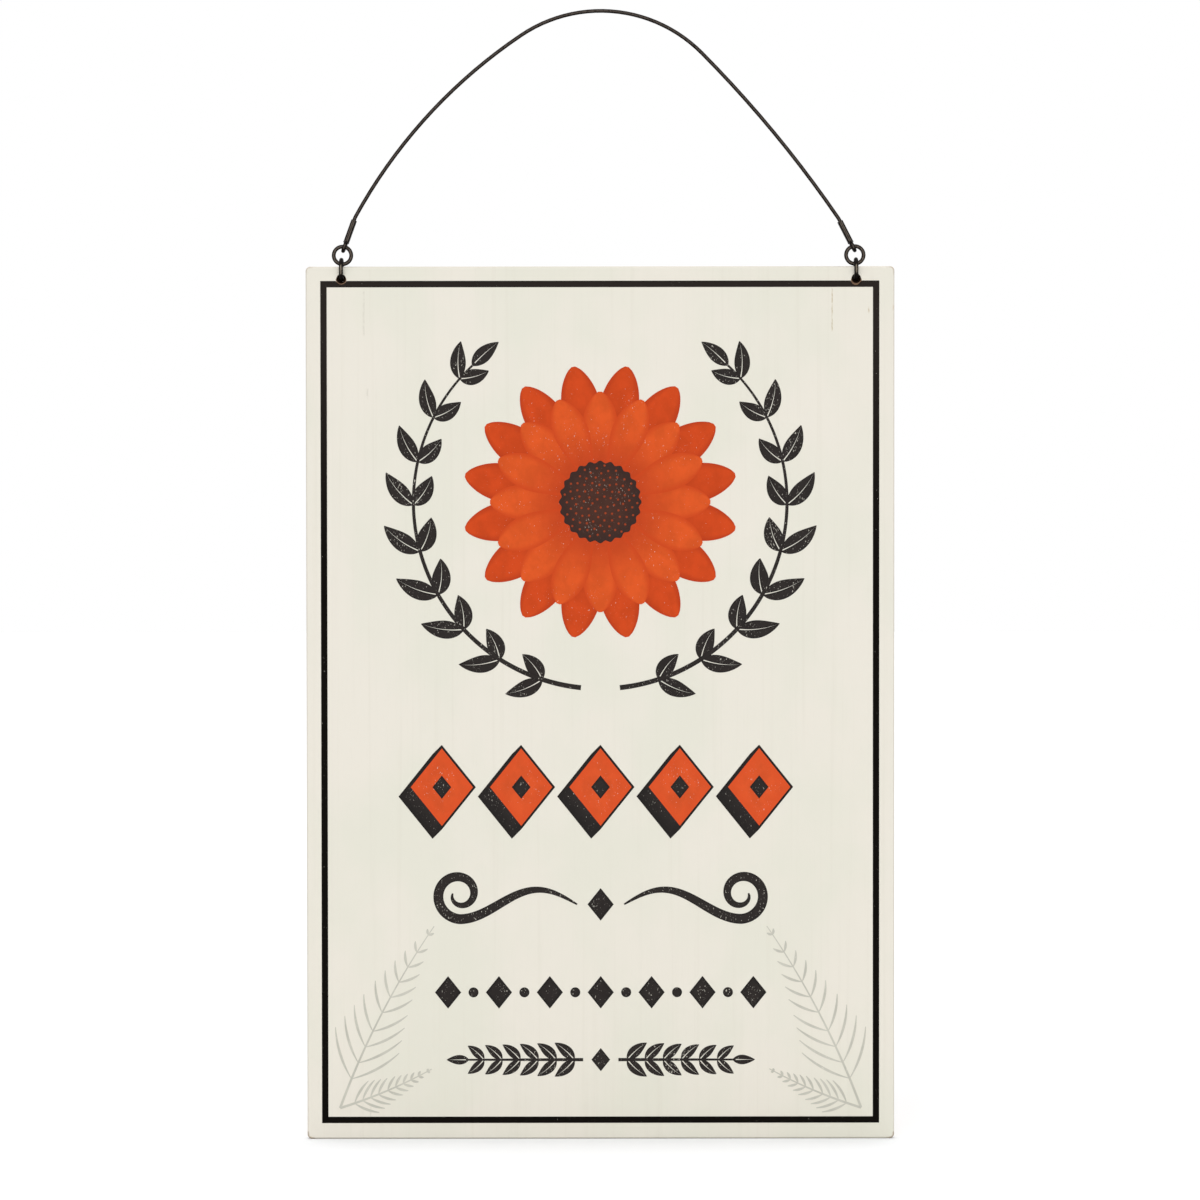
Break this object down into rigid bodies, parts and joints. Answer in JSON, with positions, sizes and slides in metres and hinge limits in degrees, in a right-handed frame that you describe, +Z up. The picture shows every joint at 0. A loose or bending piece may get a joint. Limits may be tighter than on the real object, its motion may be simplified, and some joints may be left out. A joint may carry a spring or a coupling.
{
  "type": "hanging sign",
  "caption": "Flat painted wooden sign board with drilled top corners, hung by wire links and rings from an arched wire hanger with crimped ends.",
  "frame": {"origin": "the hang point: underside of the hanger wire, above the middle of the board", "axes": "+Z up, +X to the right as seen from the front, the printed front faces -Y"},
  "size_m": [0.2, 0.0082, 0.3843],
  "materials": {
    "painted_wood": "off-white paint over wood, satin",
    "dark_wire": "dark bronze steel wire, satin",
    "dark_sleeve": "dark bronze crimped sheet, satin",
    "dark_ring": "dark bronze ring wire, satin"
  },
  "bodies": {
    "hanger": {"hanger_wire": "dark_wire", "ferrule_left": "dark_sleeve", "ferrule_right": "dark_sleeve"},
    "ring_left": {"ring_left": "dark_ring"},
    "ring_right": {"ring_right": "dark_ring"},
    "link_left": {"link_left": "dark_ring"},
    "link_right": {"link_right": "dark_ring"},
    "board": {"sign_board": "painted_wood"}
  },
  "joints": [
    {"name": "ring_left_swing", "type": "hinge", "parent": "hanger", "child": "ring_left", "pos_m": [-0.0865, 0.00068, -0.07925], "axis": [1, 0, 0], "range_deg": [-90, 90]},
    {"name": "link_left_swing", "type": "hinge", "parent": "ring_left", "child": "link_left", "pos_m": [-0.0879, 0.00068, -0.08502], "axis": [1, 0, 0], "range_deg": [-60, 60]},
    {"name": "board_swing", "type": "hinge", "parent": "link_left", "child": "board", "pos_m": [-0.0879, 0.00068, -0.08701], "axis": [1, 0, 0], "range_deg": [-25, 25]},
    {"name": "ring_right_swing", "type": "hinge", "parent": "hanger", "child": "ring_right", "pos_m": [0.0856, 0.00068, -0.07925], "axis": [1, 0, 0], "range_deg": [-90, 90]},
    {"name": "link_right_swing", "type": "hinge", "parent": "ring_right", "child": "link_right", "pos_m": [0.087, 0.00068, -0.08502], "axis": [1, 0, 0], "range_deg": [-60, 60]}
  ],
  "couplings": [
    {"joint": "ring_right_swing", "follows": "ring_left_swing", "ratio": 1},
    {"joint": "link_right_swing", "follows": "link_left_swing", "ratio": 1}
  ]
}
